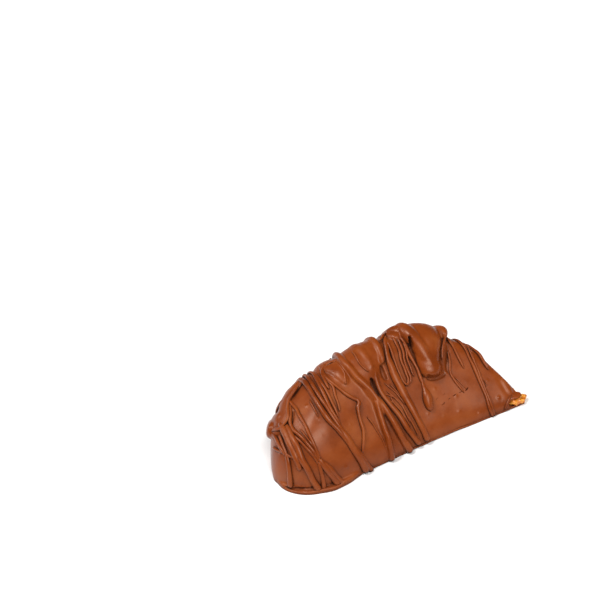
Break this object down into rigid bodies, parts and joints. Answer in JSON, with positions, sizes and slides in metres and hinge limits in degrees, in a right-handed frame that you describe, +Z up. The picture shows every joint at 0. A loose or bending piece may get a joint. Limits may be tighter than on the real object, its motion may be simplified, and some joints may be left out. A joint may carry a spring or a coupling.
{
  "type": "chocolate dipped orange slice",
  "caption": "Half-moon wedge of candied orange in a milk chocolate coat with poured drizzle over its ridge, lying on its flat underside.",
  "frame": {"origin": "middle of the footprint, on the flat underside", "axes": "+X along the wedge towards the torn tip, +Y towards its rounded back, +Z up"},
  "size_m": [0.0724, 0.0358, 0.0237],
  "materials": {
    "milk_chocolate": "satin milk chocolate, a tempered coat with a soft sheen",
    "candied_orange": "moist candied orange peel with fine sugar grain"
  },
  "bodies": {
    "root": {"chocolate_coat": "milk_chocolate", "candied_orange": "candied_orange"}
  },
  "joints": []
}
